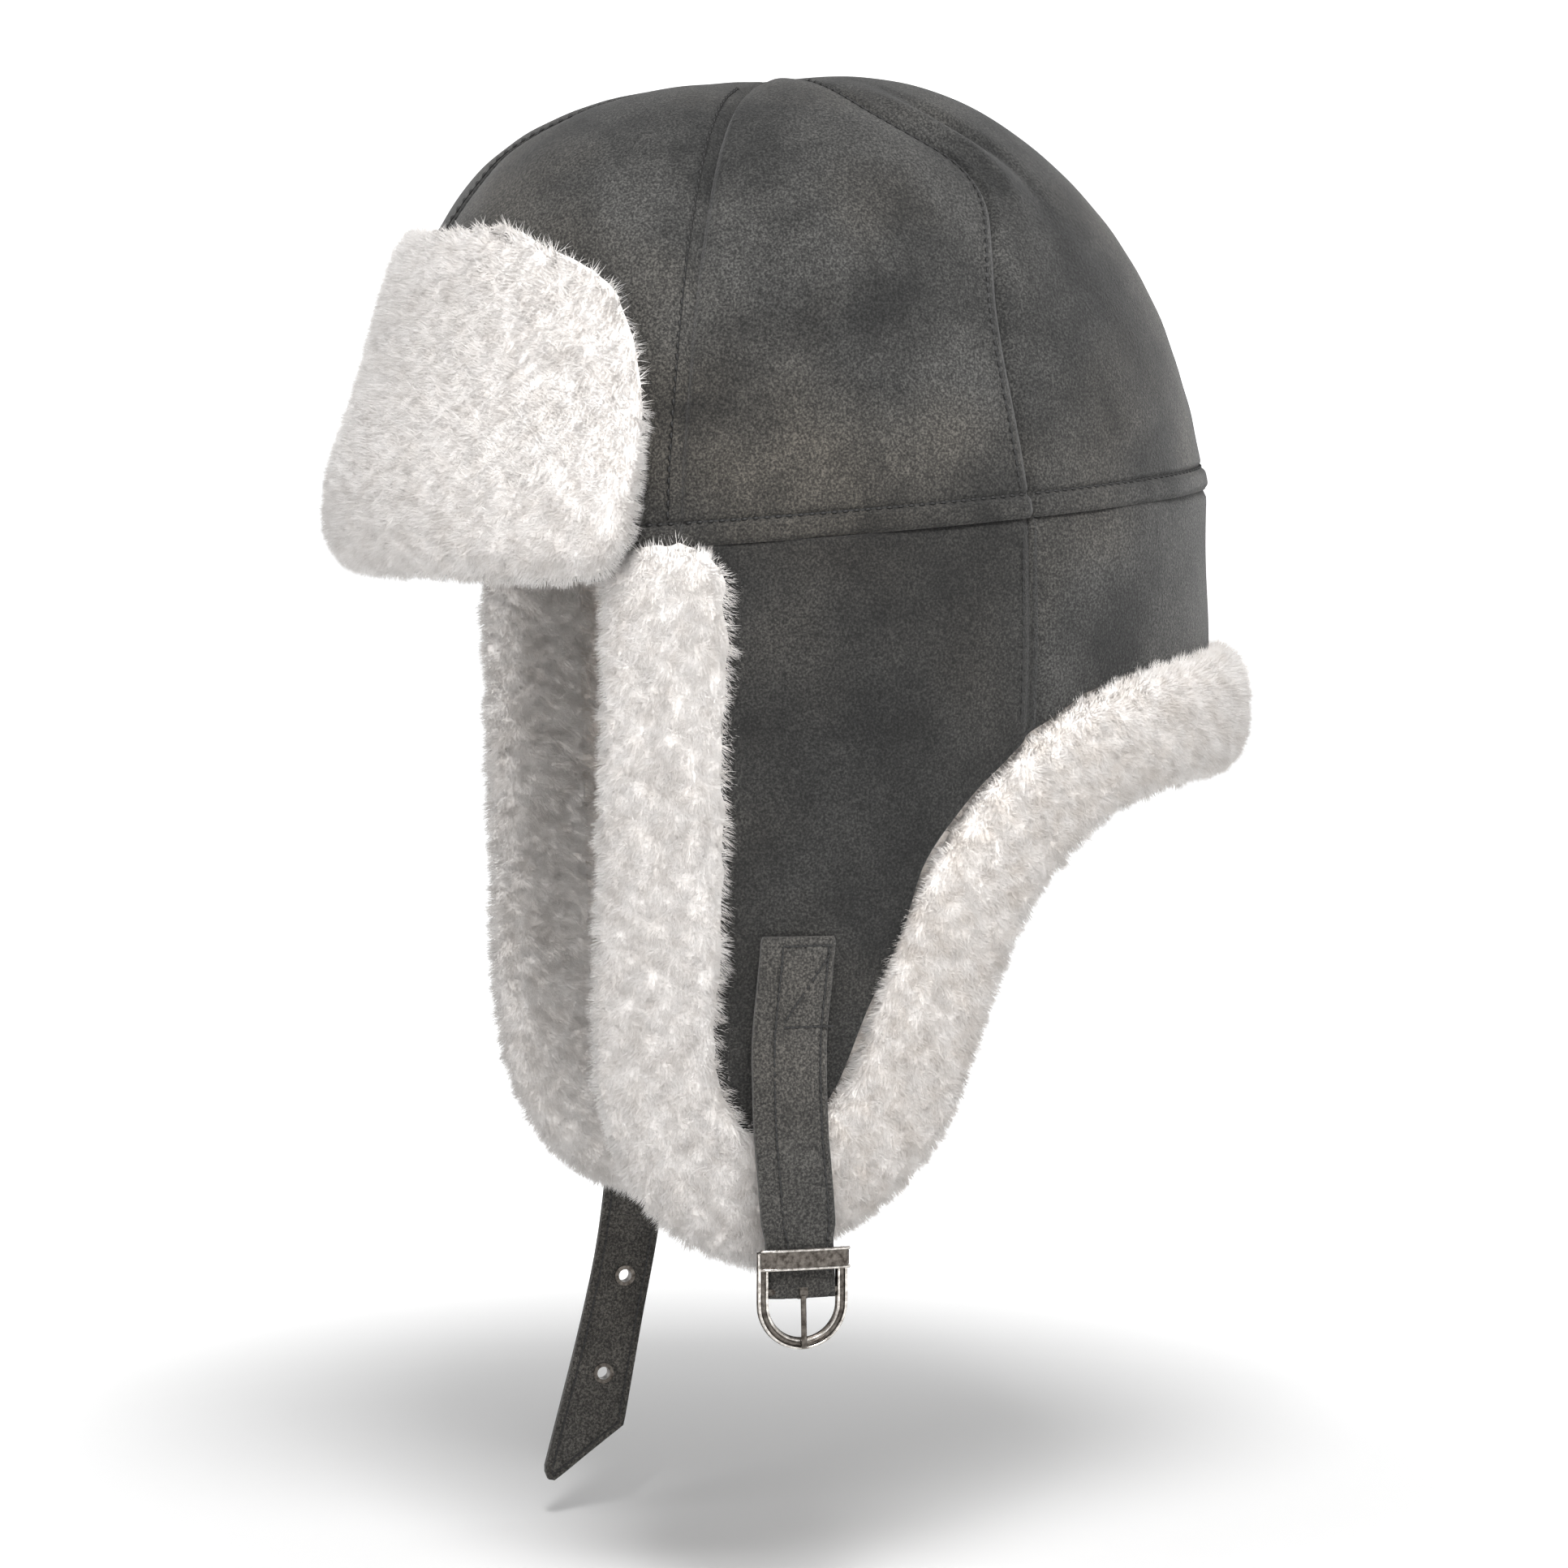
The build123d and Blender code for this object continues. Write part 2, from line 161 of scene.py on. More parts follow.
def grid_uv(rows, cols):
    v, u = np.mgrid[0:1:rows * 1j, 0:1:cols * 1j]
    return np.stack([u * 0.98 + 0.01, v * 0.98 + 0.01], -1).reshape(-1, 2)


def sheet(name, outer, inner):
    """Closed sheet between two grids of points."""
    rows, cols = outer.shape[:2]
    count = rows * cols
    points = np.concatenate([outer.reshape(-1, 3), inner.reshape(-1, 3)])
    faces = grid_faces(rows, cols)
    faces += [f[::-1] for f in grid_faces(rows, cols, first=count)]
    loop = list(range(cols))
    loop += [r * cols + cols - 1 for r in range(1, rows)]
    loop += [(rows - 1) * cols + c for c in range(cols - 2, -1, -1)]
    loop += [r * cols for r in range(rows - 2, 0, -1)]
    for a, b in zip(loop, loop[1:] + loop[:1]):
        faces.append([b, a, a + count, b + count])
    uv = grid_uv(rows, cols)
    return new_object(name, points, faces, np.concatenate([uv * [0.5, 1], uv * [0.5, 1] + [0.5, 0]]))


def tube(name, rings, smooth=True):
    """Closed body through rings of points, capped at both ends."""
    rows, cols = rings.shape[:2]
    faces = grid_faces(rows, cols, wrap=True)
    faces.append(list(range(cols))[::-1])
    faces.append([(rows - 1) * cols + c for c in range(cols)])
    return new_object(name, rings.reshape(-1, 3), faces, grid_uv(rows, cols), smooth)


def length_along(line):
    """Distance from a line's first point to each of its points."""
    return np.r_[0, np.cumsum(np.linalg.norm(np.diff(line, axis=0), axis=1))]


def oval(turns, power_c, power_s, start=0.0):
    """Cosines and sines round an oval, squared off by powers under 1."""
    phi = np.linspace(0, 2 * math.pi, turns, endpoint=False) + start
    c, s = np.cos(phi), np.sin(phi)
    return np.sign(c) * np.abs(c) ** power_c, np.sign(s) * np.abs(s) ** power_s


def curve_points(points, count):
    """Evenly spaced points on a smooth curve through a few."""
    p = np.asarray(points, float)
    p = np.concatenate([[2 * p[0] - p[1]], p, [2 * p[-1] - p[-2]]])
    out = []
    for i in range(1, len(p) - 2):
        t = np.linspace(0, 1, 40, endpoint=False)[:, None]
        a, b, c, d = p[i - 1], p[i], p[i + 1], p[i + 2]
        out.append(0.5 * (2 * b + (c - a) * t + (2 * a - 5 * b + 4 * c - d) * t**2
                          + (3 * b - a - 3 * c + d) * t**3))
    dense = np.concatenate([*out, p[-2:-1]])
    run = length_along(dense)
    at = np.linspace(0, run[-1], count)
    return np.stack([np.interp(at, run, dense[:, k]) for k in range(p.shape[1])], -1)


def unit(v):
    return v / np.maximum(np.linalg.norm(v, axis=-1, keepdims=True), 1e-9)


def mirrored(points):
    return points * [-1, 1, 1]


def on_side(side, *grids):
    """Grids of the left side as they are, or mirrored and turned round for the right."""
    if side == "left":
        return grids
    return [mirrored(grid)[:, ::-1] for grid in grids]


def lumps(points, scale, seed):
    """Smooth cheap noise from a few sines, between about -1 and 1."""
    local = np.random.default_rng(seed)
    total = np.zeros(points.shape[:-1])
    for _ in range(9):
        direction = unit(local.normal(size=3))
        wave = scale * local.uniform(0.6, 1.7)
        total += np.sin(points @ direction * 2 * math.pi / wave + local.uniform(0, 6.3))
    return total / 3.2


# ---- fur ---------------------------------------------------------------------------------
MAX_STRANDS = 46000                  # strands in one mesh, four triangles each
ROOT_DEPTH = 0.6


def lumpy_base(grid, wrap, depth, inward):
    """Grid with small lumps, its normals, and whether its faces are turned over."""
    du = np.roll(grid, -1, 1) - np.roll(grid, 1, 1) if wrap else np.gradient(grid, axis=1)
    normal = unit(np.cross(du, np.gradient(grid, axis=0)))
    away = grid - (grid.mean(1, keepdims=True) if wrap else 0)
    flip = ((normal * away).sum(-1).mean() < 0) != inward
    normal = -normal if flip else normal
    return grid + normal * (lumps(grid, 7.0, 3) * depth)[..., None], normal, flip


def base_faces(quads, rows, cols, wrap, flip):
    """Faces of the base, with both ends capped where it is closed round."""
    faces = quads.tolist()
    if wrap:
        faces.append(list(range(cols))[::-1])
        faces.append([(rows - 1) * cols + c for c in range(cols)])
    return [f[::-1] for f in faces] if flip else faces


def strands(root, n, length, comb, width, clump):
    """Strands on their roots: three points round each root and one at its tip, and each aim."""
    count = len(root)
    swirl = np.stack([lumps(root, 5.5, 20 + k) for k in range(3)], -1)
    tangent = np.asarray(comb, float) + clump * swirl
    tangent = tangent - n * (tangent * n).sum(1, keepdims=True)
    aim = unit(n * 0.9 + tangent + rng.normal(0, 0.22, (count, 3)))
    size = length * (0.82 + 0.16 * lumps(root, 6.0, 5)[:, None]) * rng.uniform(0.8, 1.08, (count, 1))
    side = unit(np.cross(aim, rng.normal(size=(count, 3))))
    other = np.cross(aim, side)
    thick = width * rng.uniform(0.7, 1.2, (count, 1)) * 0.5
    low = root - n * ROOT_DEPTH
    corners = []
    for k in range(3):
        angle = 2 * math.pi * k / 3
        corners.append(low + (side * math.cos(angle) + other * math.sin(angle)) * thick)
    return np.stack([*corners, low + aim * size], 1).reshape(-1, 3), aim


def fur(name, grid, density, length, comb=(0, 0, -0.5), wrap=False, width=0.42,
        clump=0.45, base_lumps=0.7, inward=False, furred=None):
    """Plush: a lumpy base grid, closed or open, and a coat of fine tapered strands."""
    rows, cols = grid.shape[:2]
    grid, normal, flip = lumpy_base(grid, wrap, base_lumps, inward)
    quads = np.array(grid_faces(rows, cols, wrap))
    flat, flat_n, uv_all = grid.reshape(-1, 3), normal.reshape(-1, 3), grid_uv(rows, cols)
    a, b, d = flat[quads[:, 0]], flat[quads[:, 1]], flat[quads[:, 3]]
    area = np.linalg.norm(np.cross(b - a, d - a), axis=1)
    if furred is not None:
        area = area * furred[np.arange(len(quads)) % cols]
    wanted = int(area.sum() * density)
    pieces = max(1, math.ceil(wanted / MAX_STRANDS))
    count = wanted // pieces
    made = []
    for part in range(pieces):
        q = quads[rng.choice(len(quads), count, p=area / area.sum())]
        s, t = rng.random((2, count, 1))
        weights = [(1 - s) * (1 - t), s * (1 - t), s * t, (1 - s) * t]
        root, n, uv = (sum(w * field[q[:, k]] for k, w in enumerate(weights))
                       for field in (flat, flat_n, uv_all))
        n = unit(n)
        points, aim = strands(root, n, length, comb, width, clump)
        shade = np.repeat(unit(n * 0.8 + aim * 0.5), 4, 0)
        uvs = np.repeat(uv, 4, 0)
        first = np.arange(count)[:, None] * 4
        label, faces = f"{name}_pile_{part}", []
        if part == 0:
            label, faces = name, base_faces(quads, rows, cols, wrap, flip)
            first = first + len(flat)
            points = np.concatenate([flat, points])
            uvs = np.concatenate([uv_all, uvs])
            shade = np.concatenate([flat_n, shade])
        for corner in ([0, 1, 3], [1, 2, 3], [2, 0, 3], [2, 1, 0]):
            faces += (first + corner).tolist()
        made.append(new_object(label, points, faces, uvs))
        made[-1].data.normals_split_custom_set_from_vertices(shade.tolist())
    return made


# ---- materials ---------------------------------------------------------------------------
def node_material(name):
    material = bpy.data.materials.new(name)
    material.use_nodes = True
    tree = material.node_tree
    return material, tree, tree.nodes["Principled BSDF"]


def ramp(tree, source, stops):
    node = tree.nodes.new("ShaderNodeValToRGB")
    elements = node.color_ramp.elements
    for i, (place, colour) in enumerate(stops):
        element = elements[i] if i < 2 else elements.new(place)
        element.position = place
        element.color = (*colour, 1)
    tree.links.new(source, node.inputs["Fac"])
    return node.outputs["Color"]


def noise(tree, scale, detail=3.0, rough=0.55):
    where = tree.nodes.new("ShaderNodeTexCoord")
    node = tree.nodes.new("ShaderNodeTexNoise")
    node.inputs["Scale"].default_value = scale
    node.inputs["Detail"].default_value = detail
    node.inputs["Roughness"].default_value = rough
    tree.links.new(where.outputs["Object"], node.inputs["Vector"])
    return node.outputs["Fac"]


def blend_colours(tree, a, b, factor, mode="MIX"):
    node = tree.nodes.new("ShaderNodeMix")
    node.data_type = "RGBA"
    node.blend_type = mode
    if isinstance(factor, float):
        node.inputs["Factor"].default_value = factor
    else:
        tree.links.new(factor, node.inputs["Factor"])
    tree.links.new(a, node.inputs["A"])
    tree.links.new(b, node.inputs["B"])
    return node.outputs["Result"]


def add_bump(tree, shader, height, strength, distance):
    node = tree.nodes.new("ShaderNodeBump")
    node.inputs["Strength"].default_value = strength
    node.inputs["Distance"].default_value = distance
    tree.links.new(height, node.inputs["Height"])
    tree.links.new(node.outputs["Normal"], shader.inputs["Normal"])


def napped_leather(name, dark, light, warm):
    """Charcoal nubuck: cloudy patches, a fine pebbled nap and a soft sheen."""
    material, tree, shader = node_material(name)
    clouds = ramp(tree, noise(tree, 24, 5, 0.62), [(0.36, dark), (0.64, light)])
    warmth = ramp(tree, noise(tree, 14, 2), [(0.45, (1, 1, 1)), (0.7, warm)])
    pebbles = [(0.36, (0.35, 0.35, 0.35)), (0.5, (0.92, 0.92, 0.92)), (0.64, (2.1, 2.1, 2.05))]
    grain = ramp(tree, noise(tree, 1500, 3, 0.65), pebbles)
    colour = blend_colours(tree, clouds, warmth, 1.0, "MULTIPLY")
    colour = blend_colours(tree, colour, grain, 1.0, "MULTIPLY")
    tree.links.new(colour, shader.inputs["Base Color"])
    shader.inputs["Roughness"].default_value = 0.86
    shader.inputs["Specular IOR Level"].default_value = 0.25
    shader.inputs["Sheen Weight"].default_value = 0.13
    shader.inputs["Sheen Roughness"].default_value = 0.5
    add_bump(tree, shader, noise(tree, 1000, 4, 0.7), 0.9, 0.0004)
    return material


def sheared_wool(name, shade, light):
    """Off-white pile with small darker clumps."""
    material, tree, shader = node_material(name)
    clumps = ramp(tree, noise(tree, 160, 4, 0.65), [(0.36, shade), (0.60, light)])
    fine = ramp(tree, noise(tree, 1300, 2, 0.6), [(0.3, (0.86, 0.85, 0.84)), (0.6, (1, 1, 1))])
    colour = blend_colours(tree, clumps, fine, 1.0, "MULTIPLY")
    tree.links.new(colour, shader.inputs["Base Color"])
    shader.inputs["Roughness"].default_value = 0.75
    shader.inputs["Specular IOR Level"].default_value = 0.3
    shader.inputs["Sheen Weight"].default_value = 0.3
    return material


def antique_metal(name, dim_tone, bright_tone, roughness):
    """Antique nickel, mottled at random between two tones: brown for the dark copy, and pale for the bright
    copy, which is a painted highlight.
    """
    material, tree, shader = node_material(name)
    tarnish_and_highlight = ramp(tree, noise(tree, 700, 3, 0.6), [(0.35, dim_tone), (0.66, bright_tone)])
    tree.links.new(tarnish_and_highlight, shader.inputs["Base Color"])
    shader.inputs["Metallic"].default_value = 1.0
    shader.inputs["Roughness"].default_value = roughness
    add_bump(tree, shader, noise(tree, 700, 3), 0.25, 0.0002)
    return material


def twisted_thread(name):
    """Dark waxed sewing thread, also the colour of the painted shade under the stitches."""
    material, tree, shader = node_material(name)
    yarns = [(0.35, (0.005, 0.005, 0.005)), (0.65, (0.014, 0.0135, 0.013))]
    twist = ramp(tree, noise(tree, 2500, 2), yarns)
    tree.links.new(twist, shader.inputs["Base Color"])
    shader.inputs["Roughness"].default_value = 0.6
    return material


LEATHER_MAT = napped_leather("nubuck", (0.014, 0.014, 0.0138), (0.045, 0.0442, 0.0425), (1.25, 1.16, 1.05))
EAR_MAT = napped_leather("nubuck_ear", (0.011, 0.011, 0.0108), (0.026, 0.0256, 0.0247), (1.12, 1.06, 1.0))
STRAP_MAT = napped_leather("nubuck_strap", (0.024, 0.0233, 0.022), (0.050, 0.0485, 0.046), (1.1, 1.05, 1.0))
FUR_MAT = sheared_wool("turned_wool", (0.78, 0.742, 0.71), (0.92, 0.89, 0.866))
RIM_MAT = sheared_wool("rim_wool", (0.74, 0.69, 0.645), (0.91, 0.875, 0.845))
WOOL_MAT = sheared_wool("lining_wool", (0.68, 0.62, 0.57), (0.90, 0.85, 0.805))
METAL_MAT = antique_metal("antique_nickel", (0.045, 0.038, 0.033), (0.15, 0.135, 0.12), 0.34)
# painted highlight: bright nickel for the ridges along the buckle's edges, standing in for its glints
HIGHLIGHT_MAT = antique_metal("painted_highlight_nickel", (0.30, 0.275, 0.25), (0.72, 0.69, 0.65), 0.22)
# thread colour, also used for the ribbons of painted shade under the stitches
THREAD_AND_SHADE_MAT = twisted_thread("waxed_thread_and_shade")


def finish_piece(piece, material, body, nodes=(), blend=None):
    """Material in a slot, the body or, for a piece with a blend, its transform baked in instead, and the CAD
    nodes that a piece stands for.
    """
    piece.data.materials.append(material)
    if blend:
        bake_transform(piece)
    else:
        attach(piece, body)
    if nodes:
        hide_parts(*nodes)
    return piece


def metres(*values):
    return tuple(v * MM for v in values)


def fold_blend(side):
    """Where the leather, wool and front fur of an ear flap turn with it."""
    return ("hat", f"{side}_ear_flap", metres(0, 0, -50), metres(0, 0, -75))


def rim_blend(side):
    """Where the rear fur rim turns with the flap, on a slant towards the nape."""
    return ("hat", f"{side}_ear_flap", metres(0, 61, -77), metres(0, 28.9, -95.6))


# ---- leather -----------------------------------------------------------------------------
ROWS, COLS = 90, 70
STITCH_CLIMB = 6.6                   # the row of stitches above the band seam


def panel_relief(u, s):
    """Padding of a crown panel, pinched down at its seams and raised at the band."""
    edge = np.minimum(u, 1 - u) * np.cos(s) ** POWER
    puff = 2.4 * np.sin(math.pi * np.clip(u, 0, 1)) ** 0.7 * (0.35 + 0.65 * np.clip(np.sin(s) * 1.2, 0, 1))
    climb = s * CLIMB
    allowance = 1.0 / (1 + np.exp((climb - 5.6) / 0.45))
    dips = 1.3 * bell(edge, 0.011) + 0.9 * bell(climb - STITCH_CLIMB, 0.9) + 1.2 * bell(climb, 0.9)
    return puff + allowance - dips - 1.2


def crown_face(index, u, s):
    """Outer face of a crown panel, from one seam to the next and from band to top."""
    first, last = seam_angle(index, s), seam_angle(index + 1, s)
    relief = panel_relief(u, s)
    if index == 2:
        fold = bell(np.cos(s) ** POWER - 0.62, 0.16)
        relief = relief + 2.0 * fold * (bell(u - 0.12, 0.05) - bell(u - 0.24, 0.04))
    outer = crown(first + (last - first) * u, s, relief)
    return outer + unit(outer) * (lumps(outer, 60, 11) * 0.5 + lumps(outer, 17, 12) * 0.12)[..., None]


def crown_panels():
    """Six gores, each a padded sheet that dips into its seams and towards the top."""
    rows = np.sin(np.linspace(0, 1, ROWS) * math.pi / 2) ** 1.3 * math.radians(89.4)
    rows = np.sort(np.concatenate([rows[rows > 0.09], np.linspace(0, 0.088, 30)]))
    columns = (1 - np.cos(np.linspace(0, 1, COLS) * math.pi)) / 2 * 0.6 + np.linspace(0, 1, COLS) * 0.4
    u, s = np.meshgrid(columns, rows)
    for index, name in enumerate(["crown_front", "crown_side", "crown_back"]):
        first, last = seam_angle(index, s), seam_angle(index + 1, s)
        outer = crown_face(index, u, s)
        inner = crown(first + (last - first) * u, s, -LEATHER - 1.9)
        for side in ("left", "right"):
            piece = sheet(f"{name}_{side}_leather", *on_side(side, outer, inner))
            finish_piece(piece, LEATHER_MAT, "hat", [f"{name}_{side}"])


EAR_TOP, EAR_LOW = -4.0, -173.0
EAR_FRONT_Y, SIDE_SEAM_Y = -53.0, 38.3
EAR_REAR_EDGE = [(38, -56), (29, -64.5), (17, -75.5), (5, -92), (-1, -112), (-10, -134), (-19, -158),
                 (-31, -172)]


def ear_leather():
    """Leather of each ear flap, from the crown seam to its tip."""
    edge = curve_points(EAR_REAR_EDGE, 200)
    v = np.linspace(0, 1, 110)
    zs = EAR_TOP + (EAR_LOW - EAR_TOP) * v
    rear = np.where(zs > FOLD_Z, 38.0, np.interp(-zs, -edge[:, 1], edge[:, 0])) + 2
    front = EAR_FRONT_Y + 17 * np.clip((-zs - 140) / 33, 0, 1) ** 2
    y = front[:, None] + (rear - front)[:, None] * np.linspace(0, 1, 70)
    z = np.broadcast_to(zs[:, None], y.shape)
    theta = theta_of_y(y)
    z = z + (seam_z(theta) - EAR_TOP) * np.clip(1 - v[:, None] * 6, 0, 1)
    side_view = col(y * 0, y, z)
    creases = 0.32 * np.sin((y * 0.55 + z * 0.95) / 1.5 + 2.2 * lumps(side_view, 22, 31))
    relief = creases * bell(y + 18, 22) * bell(z + 48, 24) + 0.6 * lumps(side_view, 45, 32)
    relief -= 1.6 * bell(SIDE_SEAM_Y - y, 1.4) * (z > -60)
    relief -= SEAM_DEPTH * bell(z - seam_z(theta), SEAM_WIDTH)
    outer, inner = wall(theta, z, relief), wall(theta, z, SHELL_INNER)
    for side in ("left", "right"):
        o, i = on_side(side, outer, inner)
        piece = sheet(f"{side}_ear_leather", o[::-1], i[::-1])
        finish_piece(piece, EAR_MAT, "hat",
                     [f"{side}_ear_panel", f"{side}_flap_leather"], fold_blend(side))


def nape_leather():
    """Leather band round the back, tucked behind the fur roll."""
    start = math.radians(18.6)
    theta, v = np.meshgrid(np.linspace(start, math.pi - start, 160), np.linspace(0, 1, 40))
    y = A * RATIO * np.sin(theta)
    low = np.interp(y, [38, 45, 57, 75, 100, 120], [-58, -54, -47, -41.5, -40.5, -40.5])
    top = seam_z(theta)
    z = top + (low - top) * v
    relief = -1.5 * bell((np.abs(np.cos(theta)) - math.cos(start)) * A, SEAM_WIDTH)
    relief -= SEAM_DEPTH * bell(z - top, SEAM_WIDTH)
    relief += 0.6 * lumps(col(np.cos(theta) * A, y, z), 50, 33)
    outer, inner = wall(theta, z, relief), wall(theta, z, SHELL_INNER)
    piece = sheet("nape_leather", outer[::-1], inner[::-1])
    finish_piece(piece, LEATHER_MAT, "hat", ["nape_panel"])


# ---- fur rims ----------------------------------------------------------------------------
FRONT_RIM = [(-65, -3), (-65, -60), (-65, -110), (-65, -140), (-62, -162), (-52, -180), (-36, -189),
             (-20, -187)]
REAR_RIM = [(-46, -187), (-30, -187), (-14, -180), (0, -165), (7, -149), (12, -132), (18, -115), (26, -99),
            (36, -85.5), (47, -75), (61, -65), (80, -59), (100, -56.5), (119.6, -56)]
BAND_ANGLES = np.radians(np.linspace(-60, 90, 400))
STRAND = 5.2


def arc_at(theta):
    """Distance round the band from the ear to an ellipse angle."""
    step = BAND_ANGLES[1] - BAND_ANGLES[0]
    run = np.cumsum(np.hypot(A * np.sin(BAND_ANGLES), A * RATIO * np.cos(BAND_ANGLES)) * step)
    return np.interp(theta, BAND_ANGLES, run - np.interp(0, BAND_ANGLES, run))


def theta_at(arc):
    """Ellipse angle at a distance round the band from the ear."""
    return np.interp(arc, arc_at(BAND_ANGLES), BAND_ANGLES)


def roll(path, count, half_width, out, inside, round_start=0.0, round_end=0.0):
    """Fur roll along a path given in Y and Z on the wall: a flattened ring at every step."""
    path = np.asarray(path, float)
    flat = np.stack([arc_at(theta_of_y(path[:, 0])), path[:, 1]], -1)
    line = curve_points(flat, count)
    along = unit(np.gradient(line, axis=0))
    across = np.stack([-along[:, 1], along[:, 0]], -1)
    c, s = oval(44, 0.75, 0.8)
    run = length_along(line)
    shrink = np.ones(count)
    for limit, distance in ((round_start, run), (round_end, run[-1] - run)):
        if limit:
            k = np.clip(distance / limit, 0, 1)
            shrink = np.minimum(shrink, np.sqrt(1 - (1 - k) ** 2) * 0.92 + 0.08)
    width = half_width * shrink
    mid, thick = (out + inside) / 2, (out - inside) / 2 * shrink
    flat_ring = line[:, None, :] + across[:, None, :] * (width[:, None] * c)[..., None]
    return wall(theta_at(flat_ring[..., 0]), flat_ring[..., 1], mid + thick[:, None] * s)


def place_fur(pieces, material, body, nodes, blend=None):
    """Finish a coat of fur, whose first piece is padded and stands for the CAD nodes."""
    for i, piece in enumerate(pieces):
        finish_piece(piece, material, body, () if i else nodes, blend)


def fur_rims():
    """Turned-out fur in front of, under and behind each ear, and round the nape."""
    front = roll(FRONT_RIM, 120, 18.0, 4.0, -11.0, round_start=13, round_end=16)
    rear = roll(REAR_RIM, 200, 16.0, 4.5, -11.0, round_start=16)
    fullness = np.clip((rear[..., 1] - 50) / 50, 0, 1)
    rear = rear + unit(rear * [1, 1, 0]) * (fullness * 5)[..., None]
    for side in ("left", "right"):
        for label, ring, blend, nodes, comb in (
            ("front_rim", front, fold_blend(side), ["temple_trim", "flap_front_trim"], (0, 0, -0.35)),
            ("rear_rim", rear, rim_blend(side), ["flap_rear_trim"], (0, 0.1, -0.35)),
        ):
            name = f"{side}_{label}"
            grid = ring if side == "left" else mirrored(ring)
            material = FUR_MAT if label == "front_rim" else RIM_MAT
            pieces = fur(name, grid, 5.0, STRAND, comb, wrap=True, width=0.26, clump=0.30, base_lumps=0.4)
            covered = [f"{side}_{n}" for n in nodes]
            if label == "rear_rim" and side == "left":
                covered.append("nape_trim")
            place_fur(pieces, material, "hat", covered, blend)


# ---- front flap --------------------------------------------------------------------------
# Height, and how far out the wool's face lies there, before the flap is drawn in.
FLAP_LEVELS = [(-15.0, 22.0), (-6.0, 25.0), (12.0, 22.0), (42.0, 14.5), (66.0, 12.5), (79.0, 12.0),
               (86.0, 9.0)]


def flap_point(angle, z, offset):
    """Point of the crown's own oval at height z, plus an offset, at an angle in degrees."""
    h = np.clip(z + 9.0, 0, None)
    full = (1 - (h / H) ** 2) ** (POWER / 2)
    drift = -h * (SHEAR + math.sin(PITCH))
    theta = np.radians(angle)
    return col((A * full + offset) * np.cos(theta), (B * full + offset) * np.sin(theta) + drift, z)


FLAP_SPAN = 58.0
FLAP_TOP = ([0, 24, 31, 37, 43, 49, 55, 58], [82, 83, 84, 81, 77, 73, 68, 60])
FLAP_LOW = ([0, 44, 50, 54, 56, 58], [-12, -13, -12, -6, 3, 14])


def front_flap_grid(rows, turns, inside):
    """Closed pillow round the forehead, as rings from one end to the other."""
    u = np.sin(np.linspace(-1, 1, rows) * math.pi / 2) * 0.5 + np.linspace(-1, 1, rows) * 0.5
    c, s = oval(turns, 0.5, 0.75)
    taper = np.sqrt(np.clip(1 - np.abs(u) ** 26, 0, 1)) * 0.85 + 0.15
    angle = -90 + FLAP_SPAN * u
    top = np.interp(np.abs(angle + 90), *FLAP_TOP)
    low = np.interp(np.abs(angle + 90), *FLAP_LOW)
    half = (top - low) / 2 * taper
    z = ((top + low) / 2)[:, None] + half[:, None] * c
    levels = np.array(FLAP_LEVELS)
    out = np.interp(z, levels[:, 0], levels[:, 1]) - 4.5 - 2.8 * bell(z - 45, 26)
    offset = (out + inside) / 2 + (out - inside) / 2 * s * taper[:, None]
    return flap_point(angle[:, None], z, offset)


def front_flap():
    """Turned-up flap: wool outside, with its leather against the crown."""
    turns = 80
    outer_side = np.sin(np.linspace(0, 2 * math.pi, turns)) > -0.55
    pieces = fur("front_flap_wool", front_flap_grid(150, turns, 5.4), 5.0, 5.0, (0, -0.1, -0.25), wrap=True,
                 base_lumps=0.25, width=0.26, furred=outer_side, clump=0.22)
    place_fur(pieces, FUR_MAT, "front_flap", ["front_flap_fur"])
    u, v = np.meshgrid(np.linspace(-1, 1, 120), np.linspace(0, 1, 50))
    angle = -90 + FLAP_SPAN * 0.97 * u
    top = np.interp(np.abs(angle + 90), *FLAP_TOP) - 2
    low = np.interp(np.abs(angle + 90), *FLAP_LOW) + 2
    z = low + (top - low) * v
    ripple = 0.35 * lumps(col(angle, z * 0, z), 40, 41)
    back = sheet("front_flap_hide", flap_point(angle, z, 5.6), flap_point(angle, z, 3.4 + ripple))
    finish_piece(back, LEATHER_MAT, "front_flap", ["front_flap_leather"])


def forehead():
    """Short leather band and wool behind the front flap."""
    theta, v = np.meshgrid(np.radians(np.linspace(-152, -28, 120)), np.linspace(0, 1, 16))
    high = seam_z(theta)
    z = high + (-14.3 - high) * v
    tuck = -SEAM_DEPTH * bell(z - high, SEAM_WIDTH)
    band = sheet("forehead_leather", wall(theta, z, tuck), wall(theta, z, SHELL_INNER))
    finish_piece(band, LEATHER_MAT, "hat", ["forehead_band"])
    outer, inner = wall(theta, z, WOOL_OUTER), wall(theta, z, WOOL_INNER)
    add_lined("forehead_lining", outer, inner, "hat", ["forehead_wool"], None)


